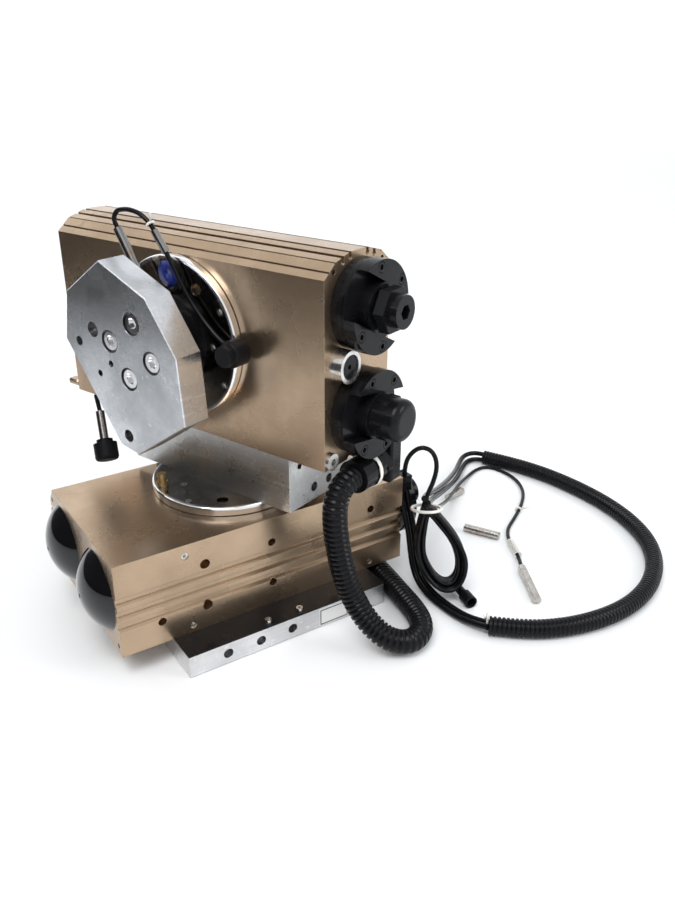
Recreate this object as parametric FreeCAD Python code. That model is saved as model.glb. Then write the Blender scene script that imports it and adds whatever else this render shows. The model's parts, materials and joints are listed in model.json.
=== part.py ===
import FreeCAD, Part
import math
import os
from FreeCAD import Placement, Rotation, Vector

# Two-axis pneumatic rotary table: two rack-and-pinion swivel units stacked at
# right angles.  The lower unit lies flat and turns about Z; the upper unit
# stands on it on its long edge and turns a tool plate about a level axis.
# Millimetres.  Origin: lower swivel axis at the underside of the base plate.
# Each unit is modelled in its own frame: x along the cylinders towards the
# stop caps, y across towards the crowned side, z out of the flange face.

# ---- extruded housing, shared by both units
THICK = 66.0            # flange face to back face
HALF_WIDE = 65.0        # flange axis to the flat side, and to the top of the crown
SHOULDER = 53.0         # flange axis to the edge where the crown begins
CYL_Y = 33.5            # flange axis to each cylinder axis
CYL_Z = -33.0
BORE_R = 20.0

# ---- rack and pinion
MODULE = 2.0
TEETH = 18
PITCH_R = MODULE * TEETH / 2
TIP_R = PITCH_R + MODULE
ROOT_R = PITCH_R - 1.25 * MODULE
PRESSURE = math.radians(20)
BACKLASH = 0.4
SWING = math.radians(90)    # each way
STROKE = PITCH_R * SWING
PINION_Z = (-50.0, -16.0)

# ---- flange, bearings and cover
FLANGE_R = 53.0
FLANGE_GAP = 0.5
FLANGE_TOP = 6.0
NECK_R = 25.0
SHAFT_R = 20.0
BEARING_R = 26.0
BEARING_W = 7.0
BEARING_Z = (-61.0, -12.0)
COVER_R = 30.0
COVER_T = 3.0

# ---- end fittings
CAP_R = 28.0
CAP_REAR = 8.0
CAP_FRONT = 17.0
CAP_SLOT = 29.0
CAP_TURN = {1: -27.0, -1: -10.0}     # how far each stop cap is turned about its axis
CAP_SCREW_AT = [(12, 20.5), (-12, 20.5), (12, -20.5), (-12, -20.5)]
PLUG_DEEP = 8.0
SHOCK_R = 10.0
SHOCK_OUT = 33.0
SHOCK_IN = 12.0
PLUNGER_R = 2.5
PLUNGER_TRAVEL = 8.0
PLUNGER_TIP = 24.0
DOME_R = 27.5
DOME_HIGH = 13.0
DOME_PLUG = 6.0
SEAL_W = 3.0

# ---- the stack
BASE = (151.0, 174.0, 16.0)
SHEET_T = 1.0
ADAPTER_HALF = 73.0
ADAPTER_LAYER = 19.0
LOWER_ENDS = (110.0, 106.0)     # flange axis to dome end, and to stop-cap end
UPPER_ENDS = (117.5, 116.5)
UPPER_TURN = -70.1              # degrees from the lower unit's long axis
UPPER_ALONG = 15.1              # lower swivel axis ahead of the upper flange axis
UPPER_FRONT = 19.5              # lower swivel axis behind the upper flange face

# ---- tool plate and its hub
HUB_R = 28.0
PLATE_Z = (24.0, 44.0)
PLATE_TURN = 34.5
PLATE_SCREW = 13.3

SHEET_TOP = BASE[2] + SHEET_T
LOWER_TOP = SHEET_TOP + THICK
ADAPTER_Z = LOWER_TOP + FLANGE_TOP
UPPER_BASE = ADAPTER_Z + 2 * ADAPTER_LAYER

UPPER_DIR = Rotation(Vector(0, 0, 1), UPPER_TURN).multVec(Vector(1, 0, 0))
FRONT_DIR = UPPER_DIR.cross(Vector(0, 0, 1))
LOWER_PLACE = Placement(Vector(0, 0, LOWER_TOP), Rotation())
UPPER_PLACE = Placement(
    UPPER_DIR * -UPPER_ALONG + FRONT_DIR * UPPER_FRONT + Vector(0, 0, UPPER_BASE + HALF_WIDE),
    Rotation(UPPER_DIR, Vector(0, 0, 1), FRONT_DIR, "XYZ"))
# The adapter lies in a frame turned with the upper unit, on the lower axis.
ADAPTER_PLACE = Placement(Vector(0, 0, 0), Rotation(Vector(0, 0, 1), UPPER_TURN))
X = Vector(1, 0, 0)
Y = Vector(0, 1, 0)
Z = Vector(0, 0, 1)


def cyl(r, length, at, along=Z):
    return Part.makeCylinder(r, length, Vector(*at), along)


def box(low, high):
    size = [h - l for l, h in zip(low, high)]
    return Part.makeBox(size[0], size[1], size[2], Vector(*low))


def prism(points, vector):
    """Extrude the closed outline through points."""
    corners = [Vector(*p) for p in points]
    return Part.Face(Part.makePolygon(corners + corners[:1])).extrude(vector)


def ring(r_in, r_out, length, at, along=Z):
    return cyl(r_out, length, at, along).cut(cyl(r_in, length, at, along))


def hexagon(across, length, at, along=Z):
    r = across / math.sqrt(3)
    points = [(r * math.cos(math.pi / 3 * k), r * math.sin(math.pi / 3 * k), 0) for k in range(6)]
    shape = prism(points, Vector(0, 0, length))
    shape.Placement = Placement(Vector(*at), Rotation(Z, along))
    return shape


def cap_screw(d, length, at, along):
    """Socket cap screw: at is the middle of the seat under the head, along points out of the head."""
    at = Vector(*at)
    head = cyl(0.75 * d, d, at, along)
    socket = hexagon(0.8 * d, 0.6 * d, at + along * (0.45 * d), along)
    return head.fuse(cyl(0.5 * d, length, at - along * length, along)).removeSplitter().cut(socket)


def screw_holes(d, length, at, along, head_deep=0.0):
    """The space that a cap screw needs: its thread, and a counterbore above the seat."""
    at = Vector(*at)
    space = cyl(0.5 * d, length, at - along * length, along)
    return space.fuse(cyl(0.75 * d + 0.4, head_deep, at, along)) if head_deep else space


def group(shapes):
    return shapes[0] if len(shapes) == 1 else Part.makeCompound(shapes)


def save(name, shape, place=None):
    shape = shape.copy()
    if place:
        shape.Placement = place.multiply(shape.Placement)
    shape.exportStep("parts/%s.step" % name)
    solids = len(shape.Solids)
    print("%-24s %2d solid(s) %10.0f mm3 %s" % (name, solids, shape.Volume, shape.isValid()))


# ---------------------------------------------------------------- one swivel unit

FLAT_HOLES = [(-50.5, -18, 3.4), (-50.5, -49.5, 3.4), (47, -18, 3.4), (47, -49.5, 3.4),
              (-2, -18, 2.8), (-2, -49.5, 2.8), (78, -17.5, 2.8), (-82, -50, 2.8)]
FLAT_HOLE_DEEP = 11.0
SET_SCREWS = [(-63.5, -8), (-61.5, -60.5), (78, -60.5)]
END_SCREW_HOLES = [(56, -9), (56, -57), (-60, -60)]
FLANGE_SCREW_PCD = 96.0
CLAMP_SCREW_PCD = 68.0


def housing_outline():
    """Crowned outline across the extrusion, with its grooves, as (y, z) points."""
    crown = [(SHOULDER, 0.0), (61.0, -10.0), (HALF_WIDE, -24.0)]
    outline = [(-HALF_WIDE, 0.0)] + crown
    outline += [(y, -THICK - z) for y, z in reversed(crown)] + [(-HALF_WIDE, -THICK)]
    return [(0, y, z) for y, z in outline]


def housing_grooves(length, start):
    """Narrow slots in the crown and three shallow channels in the flat side."""
    slots = []
    for depth_z, top_y, wide, deep in ((-4.5, 57.5, 1.0, 2.0), (-10.5, 62.0, 1.0, 2.0),
                                       (-17.5, 64.2, 2.4, 4.0), (-24.5, 66.0, 2.4, 4.0)):
        for z in (depth_z, -THICK - depth_z):
            slots.append(box((start, top_y - deep, z - wide / 2), (start + length, top_y + 3, z + wide / 2)))
            if wide > 2:
                slots.append(cyl(0.7 * wide, length, (start, top_y - deep, z), X))
    for z in (-26.0, -35.5, -44.5):
        channel = [(start, -HALF_WIDE, z + 3), (start, -HALF_WIDE + 2.2, z + 1.4),
                   (start, -HALF_WIDE + 2.2, z - 1.4), (start, -HALF_WIDE, z - 3)]
        slots.append(prism(channel, Vector(length, 0, 0)))
    return slots


def make_housing(ends, back_holes):
    length = sum(ends)
    body = prism(housing_outline(), Vector(length, 0, 0))
    body.translate(Vector(-ends[0], 0, 0))
    cuts = housing_grooves(length, -ends[0])
    for side in (-1, 1):
        cuts.append(cyl(BORE_R, length, (-ends[0], side * CYL_Y, CYL_Z), X))
    cuts.append(cyl(TIP_R + 1, BEARING_Z[1] + THICK - 9, (0, 0, -THICK + 9)))
    cuts.append(cyl(BEARING_R, BEARING_Z[0] + BEARING_W + THICK, (0, 0, -THICK)))
    cuts.append(cyl(BEARING_R, -BEARING_Z[1], (0, 0, BEARING_Z[1])))
    cuts.append(cyl(COVER_R, COVER_T, (0, 0, -THICK)))
    for x, z, r in FLAT_HOLES:
        cuts.append(cyl(r, FLAT_HOLE_DEEP, (x, -HALF_WIDE, z), Y))
    for x, z in SET_SCREWS:
        cuts.append(cyl(2.5, 6, (x, -HALF_WIDE, z), Y))
    for y, z in END_SCREW_HOLES:
        cuts.append(cyl(1.6, 7, (-ends[0], y, z), X))
        cuts.append(cyl(1.6, 7, (ends[1] - 7, y, z), X))
    for at in stop_screw_seats(ends):
        cuts.append(screw_holes(4, 14 - CAP_REAR, (ends[1], at[1], at[2]), X))
    cuts.append(cyl(6, 8, (ends[1] - 8, 1.3, -12.5), X))
    cuts.append(cyl(3.5, 8, (ends[1] - 8, -59.5, -5.5), X))
    cuts += [cyl(3, 9, (x, y, -THICK)) for x, y in back_holes]
    return body.cut(cuts)


def make_dome(ends, side):
    """Gloss cap over the blind end of a cylinder, with a small vent hole."""
    ball = (DOME_R ** 2 + DOME_HIGH ** 2) / (2 * DOME_HIGH)
    centre = -ends[0] - DOME_HIGH + ball
    dome = Part.makeSphere(ball, Vector(centre, side * CYL_Y, CYL_Z))
    dome = dome.common(cyl(DOME_R, DOME_HIGH, (-ends[0] - DOME_HIGH, side * CYL_Y, CYL_Z), X))
    dome = dome.fuse(cyl(BORE_R, DOME_PLUG, (-ends[0], side * CYL_Y, CYL_Z), X)).removeSplitter()
    return dome.cut(cyl(1.5, 8, (-ends[0] - DOME_HIGH, side * CYL_Y, CYL_Z), X))


def cap_point(side, across, up):
    """A point on a stop cap's face, in the unit frame's (y, z)."""
    a = math.radians(CAP_TURN[side])
    t = across * math.cos(a) - up * math.sin(a)
    h = across * math.sin(a) + up * math.cos(a)
    return side * CYL_Y + h, CYL_Z - t


def stop_screw_seats(ends):
    seats = []
    for side in (1, -1):
        for across, up in CAP_SCREW_AT:
            y, z = cap_point(side, across, up)
            seats.append((ends[1] + CAP_FRONT - 4, y, z))
    return seats


def make_stop_cap(ends, side):
    """Black end cap: a stepped cylinder with a milled slot and a boss for the shock absorber."""
    x = ends[1]
    at = (x, side * CYL_Y, CYL_Z)
    cap = cyl(CAP_R - 0.6, CAP_REAR, at, X)
    cap = cap.fuse(cyl(CAP_R - 1.2, 0.8, (x + CAP_REAR, at[1], at[2]), X))
    cap = cap.fuse(cyl(CAP_R, CAP_FRONT - CAP_REAR - 0.8, (x + CAP_REAR + 0.8, at[1], at[2]), X))
    slot = box((x + CAP_REAR + 1.5, -CAP_SLOT / 2, -CAP_R - 1), (x + CAP_FRONT, CAP_SLOT / 2, CAP_R + 1))
    slot.rotate(Vector(0, 0, 0), X, CAP_TURN[side])
    slot.translate(Vector(0, at[1], at[2]))
    boss = cyl(15, CAP_FRONT - CAP_REAR + 1, (x + CAP_REAR, at[1], at[2]), X)
    plug = cyl(BORE_R, PLUG_DEEP, (x - PLUG_DEEP, at[1], at[2]), X)
    cap = cap.cut(slot).fuse([boss, plug]).removeSplitter()
    cap = cap.cut(cyl(SHOCK_R, 60, (x - 20, at[1], at[2]), X))
    for seat in stop_screw_seats(ends)[:4] if side == 1 else stop_screw_seats(ends)[4:]:
        cap = cap.cut(screw_holes(4, 14, seat, X, head_deep=5))
    return cap


def make_shock(ends, side):
    """Threaded shock absorber body with its lock nut, bored for the plunger."""
    at = (ends[1] - SHOCK_IN, side * CYL_Y, CYL_Z)
    body = cyl(SHOCK_R, SHOCK_IN + SHOCK_OUT, at, X)
    front = ends[1] + SHOCK_OUT
    body = body.cut(hexagon(8, 6, (front - 6, at[1], at[2]), X))
    body = body.cut(cyl(PLUNGER_R + 0.05, 24, at, X))
    nut = hexagon(25, 7, (ends[1] + CAP_FRONT + 3, at[1], at[2]), X)
    return [body, nut.cut(cyl(SHOCK_R, 40, (ends[1], at[1], at[2]), X))]


def make_rubber_cap(ends, side):
    """Soft round cap pushed over the end of one shock absorber."""
    front = ends[1] + SHOCK_OUT + 4
    back = ends[1] + CAP_FRONT + 1
    cap = cyl(13.5, front - back, (back, side * CYL_Y, CYL_Z), X)
    cap = cap.makeFillet(5, [e for e in cap.Edges if e.BoundBox.XMin > front - 0.1])
    return cap.cut(cyl(SHOCK_R, ends[1] + SHOCK_OUT - back, (back, side * CYL_Y, CYL_Z), X))


def make_plunger(ends, side):
    tip = ends[1] - PLUNGER_TIP
    rod = cyl(PLUNGER_R, PLUNGER_TIP - 3, (tip + 3, side * CYL_Y, CYL_Z), X)
    return rod.fuse(cyl(6, 3, (tip, side * CYL_Y, CYL_Z), X)).removeSplitter()


def rack_half(ends):
    return ends[1] - PLUNGER_TIP - 0.7 - STROKE


def make_rack(ends, side):
    """Round piston with a rack cut into the side that faces the pinion."""
    half = rack_half(ends)
    pitch = math.pi * MODULE
    outer = BORE_R - 0.1
    rack = cyl(outer, 2 * half, (-half, CYL_Y, CYL_Z), X)
    zone = 6.5 * pitch
    cuts = [box((-zone, 0, CYL_Z - 30), (zone, PITCH_R - MODULE, CYL_Z + 30))]
    slope = math.tan(PRESSURE)
    mid = pitch / 4 + 0.05
    wide = mid + MODULE * slope
    narrow = mid - 1.25 * MODULE * slope
    low = PITCH_R - MODULE
    deep = PITCH_R + 1.25 * MODULE
    for k in range(-6, 7):
        x = k * pitch
        space = [(x - wide, low, CYL_Z - 30), (x + wide, low, CYL_Z - 30),
                 (x + narrow, deep, CYL_Z - 30), (x - narrow, deep, CYL_Z - 30)]
        cuts.append(prism(space, Vector(0, 0, 60)))
    for x in seal_places(ends):
        cuts.append(ring(outer - 2, outer + 1, SEAL_W, (x, CYL_Y, CYL_Z), X))
    rack = rack.cut(cuts)
    if side < 0:
        rack.rotate(Vector(0, 0, 0), Z, 180)
    return rack


def seal_places(ends):
    half = rack_half(ends)
    return [-half + 3, half - 3 - SEAL_W]


def make_seals(ends, side):
    return [ring(BORE_R - 2.1, BORE_R - 0.05, SEAL_W, (x, side * CYL_Y, CYL_Z), X)
            for x in seal_places(ends)]


def make_pinion_gear():
    """Involute gear blank between the two journals."""
    base_r = PITCH_R * math.cos(PRESSURE)
    half_tooth = (math.pi * MODULE / 2 - BACKLASH) / 2 / PITCH_R

    def flank_angle(r):
        a = math.acos(min(1.0, base_r / r))
        return half_tooth + math.tan(PRESSURE) - PRESSURE - math.tan(a) + a

    def at(r, angle):
        return Vector(r * math.cos(angle), r * math.sin(angle), 0)

    radii = [base_r + (TIP_R - base_r) * k / 4 for k in range(5)]
    step = 2 * math.pi / TEETH
    edges = []
    for tooth in range(TEETH):
        mid = math.pi / 2 + tooth * step
        up = [at(r, mid - flank_angle(r)) for r in radii]
        down = [at(r, mid + flank_angle(r)) for r in reversed(radii)]
        root_a = at(ROOT_R, mid - flank_angle(base_r))
        root_b = at(ROOT_R, mid + flank_angle(base_r))
        next_root = at(ROOT_R, mid + step - flank_angle(base_r))
        for flank in (up, down):
            curve = Part.BSplineCurve()
            curve.interpolate(flank)
            edges.append(curve.toShape())
        edges.append(Part.LineSegment(root_a, up[0]).toShape())
        edges.append(Part.Arc(up[-1], at(TIP_R, mid), down[0]).toShape())
        edges.append(Part.LineSegment(down[-1], root_b).toShape())
        edges.append(Part.Arc(root_b, at(ROOT_R, mid + step / 2), next_root).toShape())
    wire = Part.Wire(Part.__sortEdges__(edges))
    gear = Part.Face(wire).extrude(Vector(0, 0, PINION_Z[1] - PINION_Z[0]))
    gear.translate(Vector(0, 0, PINION_Z[0]))
    return gear


def ring_points(pcd, count, first):
    r = pcd / 2
    turns = [math.radians(first + 360 * k / count) for k in range(count)]
    return [(r * math.cos(a), r * math.sin(a)) for a in turns]


def tool_screw_points(turn):
    pcd = PLATE_SCREW * math.sqrt(2) * 2
    return ring_points(pcd, 4, turn + 45)


def make_pinion(turn, screw):
    """Pinion shaft in one piece with the output flange, tapped for four screws."""
    shaft = make_pinion_gear()
    shaft = shaft.fuse([cyl(SHAFT_R, PINION_Z[0] + 62.5, (0, 0, -62.5)),
                        cyl(SHAFT_R, -3 - PINION_Z[1], (0, 0, PINION_Z[1])),
                        cyl(NECK_R, 3 + FLANGE_GAP, (0, 0, -3))])
    disc = cyl(FLANGE_R, FLANGE_TOP - FLANGE_GAP, (0, 0, FLANGE_GAP))
    disc = disc.makeFillet(1.8, [e for e in disc.Edges if e.BoundBox.ZMin > FLANGE_TOP - 0.1])
    shaft = shaft.fuse(disc).removeSplitter()
    cuts = [cyl(screw / 2, FLANGE_TOP + 12, (x, y, -12)) for x, y in tool_screw_points(turn)]
    cuts += [screw_holes(3, 2.4, (x, y, FLANGE_TOP - 3), Z, 3) for x, y in flange_screw_points()]
    cuts += [cyl(4, FLANGE_TOP, (x, y, 0)) for x, y in ring_points(82, 2, 58)]
    return shaft.cut(cuts)


def flange_screw_points():
    return ring_points(FLANGE_SCREW_PCD, 6, 30) + ring_points(CLAMP_SCREW_PCD, 4, 0)


def make_flange_screws():
    return [cap_screw(3, 2.3, (x, y, FLANGE_TOP - 3), Z) for x, y in flange_screw_points()]


def make_bearings():
    shapes = []
    for z in BEARING_Z:
        shapes.append(ring(SHAFT_R + 0.05, 21.4, BEARING_W, (0, 0, z)))
        shapes.append(ring(24.6, BEARING_R, BEARING_W, (0, 0, z)))
        for x, y in ring_points(46, 20, 0):
            shapes.append(Part.makeSphere(1.55, Vector(x, y, z + BEARING_W / 2)))
    return shapes


def make_plugs(ends, side_port_plugged):
    """Port fitting with its steel ring, socket plug if any, and set screws of a housing."""
    x = ends[1]
    port = cyl(6, 8, (x - 8, 1.3, -12.5), X).fuse(cyl(10, 10, (x, 1.3, -12.5), X)).removeSplitter()
    port = port.cut(cyl(7.6, 4, (x + 6, 1.3, -12.5), X))
    core = cyl(7.6, 3, (x + 6, 1.3, -12.5), X).cut(cyl(1.5, 3, (x + 6, 1.3, -12.5), X))
    shapes = [port, core]
    if side_port_plugged:
        plug = cyl(3.5, 8, (x - 8, -59.5, -5.5), X).fuse(cyl(5.5, 2.5, (x, -59.5, -5.5), X))
        shapes.append(plug.removeSplitter().cut(hexagon(4, 4, (x - 1.5, -59.5, -5.5), X)))
    for sx, sz in SET_SCREWS:
        screw = cyl(2.5, 4.5, (sx, -HALF_WIDE + 0.8, sz), Y)
        shapes.append(screw.cut(hexagon(2.5, 2.5, (sx, -HALF_WIDE + 0.8, sz), Y)))
    return shapes


def build_unit(name, ends, place, turn, screw, capped_side, back_holes=()):
    save(name + "_housing", make_housing(ends, back_holes), place)
    save(name + "_dome_caps", group([make_dome(ends, side) for side in (1, -1)]), place)
    save(name + "_stop_caps", group([make_stop_cap(ends, side) for side in (1, -1)]), place)
    save(name + "_cap_screws", group([cap_screw(4, 13.5, at, X) for at in stop_screw_seats(ends)]), place)
    shocks = make_shock(ends, 1) + make_shock(ends, -1)
    shocks.append(make_rubber_cap(ends, capped_side))
    save(name + "_shock_absorbers", group(shocks), place)
    for side, label in ((1, "crown"), (-1, "flat")):
        save("%s_plunger_%s" % (name, label), make_plunger(ends, side), place)
        save("%s_rack_%s" % (name, label), make_rack(ends, side), place)
        save("%s_seals_%s" % (name, label), group(make_seals(ends, side)), place)
    save(name + "_pinion_flange", make_pinion(turn, screw), place)
    save(name + "_flange_screws", group(make_flange_screws()), place)
    save(name + "_bearings", group(make_bearings()), place)
    save(name + "_rear_cover", cyl(COVER_R, COVER_T, (0, 0, -THICK)), place)
    save(name + "_plugs", group(make_plugs(ends, not back_holes)), place)


# ---------------------------------------------------------------- base and adapter

BASE_SIDE_HOLES = [-48.2, -24.2, -0.2]
BASE_TAPPED = (120.0, 140.0)
BASE_TO_UNIT = [(x, y) for x in (-40, 40) for y in (-46, 46)]
SHEET_SCREWS = [(-16.5, -83), (7.5, -83), (-16.5, 83), (7.5, 83)]


def make_base_plate():
    plate = box((-BASE[0] / 2, -BASE[1] / 2, 0), (BASE[0] / 2, BASE[1] / 2, BASE[2]))
    plate = plate.makeChamfer(0.8, [e for e in plate.Edges if e.BoundBox.ZMax < 0.1 or e.Length < 20])
    cuts = [cyl(3.4, 14, (x, -BASE[1] / 2, 8.3), Y) for x in BASE_SIDE_HOLES]
    for x in (-1, 1):
        for y in (-1, 1):
            cuts.append(cyl(4.5, BASE[2], (x * BASE_TAPPED[0] / 2, y * BASE_TAPPED[1] / 2, 0)))
    for x, y in BASE_TO_UNIT:
        cuts.append(screw_holes(6, 16, (x, y, 7), Vector(0, 0, -1), head_deep=7))
    for x, y in SHEET_SCREWS:
        cuts.append(cyl(1.5, 6, (x, y, BASE[2] - 6)))
    return plate.cut(cuts)


def make_base_sheet():
    sheet = box((-BASE[0] / 2, -BASE[1] / 2, BASE[2]), (BASE[0] / 2, BASE[1] / 2, SHEET_TOP))
    cuts = [cyl(3, 3, (x, y, BASE[2] - 1)) for x, y in BASE_TO_UNIT]
    cuts += [cyl(1.5, 3, (x, y, BASE[2] - 1)) for x, y in SHEET_SCREWS]
    return sheet.cut(cuts)


def make_base_screws():
    screws = [cap_screw(6, 18, (x, y, 7), Vector(0, 0, -1)) for x, y in BASE_TO_UNIT]
    screws += [cap_screw(3, 5, (x, y, SHEET_TOP), Z) for x, y in SHEET_SCREWS]
    return screws


ADAPTER_CLAMPS = [(-50.5 - UPPER_ALONG, -18), (-50.5 - UPPER_ALONG, -49.5),
                  (47 - UPPER_ALONG, -18), (47 - UPPER_ALONG, -49.5)]


def adapter_box(z_low, z_high):
    """One layer: its front face is flush with the upper unit's flange face."""
    return box((-ADAPTER_HALF, -UPPER_FRONT, z_low), (ADAPTER_HALF, THICK - UPPER_FRONT, z_high))


def make_adapter_lower():
    layer = adapter_box(ADAPTER_Z, ADAPTER_Z + ADAPTER_LAYER)
    cuts = [cyl(3.3, 10, (ADAPTER_HALF - 10, y, ADAPTER_Z + 9), X) for y in (6, 22)]
    for x, z in ADAPTER_CLAMPS:
        cuts.append(cyl(6, ADAPTER_LAYER, (x, -z - UPPER_FRONT, ADAPTER_Z)))
    for x, y in tool_screw_points(0):
        cuts.append(screw_holes(6, 12, (x, y, ADAPTER_Z + 9), Z, head_deep=10))
    return layer.cut(cuts)


def make_adapter_upper():
    layer = adapter_box(ADAPTER_Z + ADAPTER_LAYER, UPPER_BASE)
    cuts = [cyl(2.2, 10, (ADAPTER_HALF - 10, -9, UPPER_BASE - 8), X)]
    for x, z in ADAPTER_CLAMPS:
        seat = ADAPTER_Z + ADAPTER_LAYER + 8
        cuts.append(screw_holes(6.8, 11, (x, -z - UPPER_FRONT, seat), Vector(0, 0, -1), head_deep=9))
    return layer.cut(cuts)


def make_adapter_screws():
    down = Vector(0, 0, -1)
    screws = [cap_screw(6.8, 21, (x, -z - UPPER_FRONT, ADAPTER_Z + ADAPTER_LAYER + 8), down)
              for x, z in ADAPTER_CLAMPS]
    screws += [cap_screw(6, 16.5, (x, y, ADAPTER_Z + 9), Z) for x, y in tool_screw_points(0)]
    return screws


# ---------------------------------------------------------------- tool plate side

PLATE_OUTLINE = [(13, 56), (35.5, 20), (35.5, -20), (14, -57), (-41, -57), (-53, -45),
                 (-53, 33), (-29, 56)]
PLATE_HOLES = [(-23, 26, 5.0), (-41.3, 26, 3.2), (-22.7, 1.5, 2.2), (-37.2, 1, 2.2), (-41.2, -43, 4.2)]
COUNTERBORE_DEEP = 9.0


def plate_frame(shape):
    shape.rotate(Vector(0, 0, 0), Z, PLATE_TURN)
    return shape


def make_tool_plate():
    thick = PLATE_Z[1] - PLATE_Z[0]
    plate = prism([(x, y, PLATE_Z[0]) for x, y in PLATE_OUTLINE], Vector(0, 0, thick))
    plate = plate.makeChamfer(0.6, [e for e in plate.Edges if e.BoundBox.ZMin > PLATE_Z[1] - 0.1])
    cuts = [cyl(r, thick, (x, y, PLATE_Z[0])) for x, y, r in PLATE_HOLES]
    plate = plate_frame(plate.cut(cuts))
    seat = PLATE_Z[1] - COUNTERBORE_DEEP
    for x, y in tool_screw_points(PLATE_TURN):
        plate = plate.cut([cyl(4, 12, (x, y, seat - 12)), cyl(7.5, 10, (x, y, seat))])
    return plate


def make_hub():
    """Ribbed black spacer between the flange and the tool plate."""
    hub = cyl(HUB_R, PLATE_Z[0] - FLANGE_TOP, (0, 0, FLANGE_TOP))
    cuts = [ring(HUB_R - 0.7, HUB_R + 1, 0.8, (0, 0, FLANGE_TOP + 3 + 1.7 * k)) for k in range(8)]
    cuts += [cyl(4, 20, (x, y, FLANGE_TOP)) for x, y in tool_screw_points(PLATE_TURN)]
    cuts.append(cyl(8, 20, (0, 0, FLANGE_TOP)))
    return hub.cut(cuts)


def make_tool_screws():
    seat = PLATE_Z[1] - COUNTERBORE_DEEP
    return [cap_screw(8, seat + 1.5, (x, y, seat), Z) for x, y in tool_screw_points(PLATE_TURN)]


# ---------------------------------------------------------------- sensor lead on the tool side

LEAD_R = 1.5
DISC_LEAD = [(-35.5, 66.6, 14.5), (-38.8, 72.1, 14.4), (-35.2, 77.6, 14), (-25.8, 79.2, 13.4),
             (-15.6, 77.6, 12.6), (-7.6, 72, 11.8), (2.4, 56.2, 10.4), (9.6, 43.5, 9.8), (18.7, 29.3, 9.5),
             (31.2, 16.2, 9.4), (41, 8.7, 9.4), (49.4, 4.4, 9.6)]
HANGING_LEAD = [(-57.8, -46, 30), (-55.6, -57.7, 30)]
KNOB_A = (57.0, 2.4)
KNOB_B = (-42.3, -81.4, 38.7)    # kept inside 103 mm of the upper axis, to pass over the lower flange
SLEEVE_R = 3.0


def make_lead_sleeves():
    """Steel sensor barrels: one clamped beside the hub, one on the looped lead, one hanging."""
    start = Vector(*DISC_LEAD[0])
    up = Vector(-0.52, 0.855, 0)
    barrel = cyl(SLEEVE_R, 34, start - up * 34, up)
    a, b = Vector(*DISC_LEAD[5]), Vector(*DISC_LEAD[6])
    along = (b - a).normalize()
    slim = ring(LEAD_R, 2.5, 15, a + along * 4.5, along)
    hang = Vector(*HANGING_LEAD[1])
    drop = Vector(*KNOB_B) - hang
    reach = drop.Length - 8.6
    return [barrel, slim, cyl(SLEEVE_R, reach, hang, drop.normalize())]


def make_lead_knobs():
    """Round moulded plugs: one on the flange rim, one on the hanging lead."""
    rim = cyl(8.5, 12, (KNOB_A[0], KNOB_A[1], FLANGE_TOP + 0.1))
    rim = rim.makeFillet(3, [e for e in rim.Edges if e.BoundBox.ZMin > FLANGE_TOP + 11])
    rim = rim.fuse(cyl(6.5, 4, (KNOB_A[0], KNOB_A[1], FLANGE_TOP + 12))).removeSplitter()
    drop = (Vector(*KNOB_B) - Vector(*HANGING_LEAD[1])).normalize()
    ball = cyl(8, 12, Vector(*KNOB_B) - drop * 6, drop)
    ball = ball.makeFillet(2.5, [e for e in ball.Edges if e.Length > 49 and e.CenterOfMass.y < KNOB_B[1]])
    collar = cyl(5.5, 2.6, Vector(*KNOB_B) - drop * 8.6, drop)
    return [rim, ball.fuse(collar).removeSplitter()]


def make_hanging_lead():
    """Short stiff lead from behind the tool plate down to its barrel."""
    top, low = Vector(*HANGING_LEAD[0]), Vector(*HANGING_LEAD[1])
    return cyl(LEAD_R, (low - top).Length, top, low - top)


# ---------------------------------------------------------------- conduit gland, outlets, stop pin

GLAND_AT = (123.0, -74.5)        # on the upper unit's end, in its frame
BRACKET_Z = (-62.0, -50.0)
GLAND_FRONT = -21.0
HOSE_R = 8.0


def make_gland_bracket():
    """Angle block on the end face that carries the conduit gland below the housing."""
    x = UPPER_ENDS[1]
    block = box((x, -88, BRACKET_Z[0]), (x + 16, -57.5, BRACKET_Z[1]))
    block = block.makeFillet(2, [e for e in block.Edges if e.BoundBox.XMin > x + 15.9])
    return block.cut(cyl(6, 12, (GLAND_AT[0], GLAND_AT[1], BRACKET_Z[0])))


def make_conduit_gland():
    """Lock nut, sealing ring and cap nut of the gland, in a row along the conduit's exit."""
    a, b = GLAND_AT
    z = BRACKET_Z[1]
    body = hexagon(20, 6, (a, b, z)).fuse(cyl(10.5, 7, (a, b, z + 6))).removeSplitter()
    seal = cyl(12, 3, (a, b, z + 13))
    nut = cyl(11, GLAND_FRONT - z - 16, (a, b, z + 16))
    return [body, seal, nut]


OUTLET = ((106.0, -64.0, 70.0), (116.0, -56.5, 82.0))
HOSE_SOCKET = ((75.5, 30.0, 0.0), (104.0, 46.0, 16.7))


def make_cable_outlets():
    """Lead outlet on the lower unit's end face, and the socket block that takes the hose."""
    block = box(*OUTLET)
    block = block.makeFillet(1.5, [e for e in block.Edges if e.BoundBox.XMin > OUTLET[1][0] - 0.1])
    block = block.fuse(cyl(3.4, 7, (OUTLET[0][0] - 7, -59.5, LOWER_TOP - 5.5), X)).removeSplitter()
    socket = box(*HOSE_SOCKET)
    rim = [e for e in socket.Edges if e.BoundBox.YMax < HOSE_SOCKET[0][1] + 0.1]
    return [block, socket.makeFillet(1.5, rim)]


def make_stop_pin():
    """Stepped brass pin standing on the lower flange."""
    x, y = -46.5, 7.5
    pin = cyl(4.0, 3, (x, y, FLANGE_TOP)).fuse(cyl(2.6, 9, (x, y, FLANGE_TOP))).removeSplitter()
    return pin.fuse(cyl(3.4, 2, (x, y, FLANGE_TOP + 6))).removeSplitter()


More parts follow.
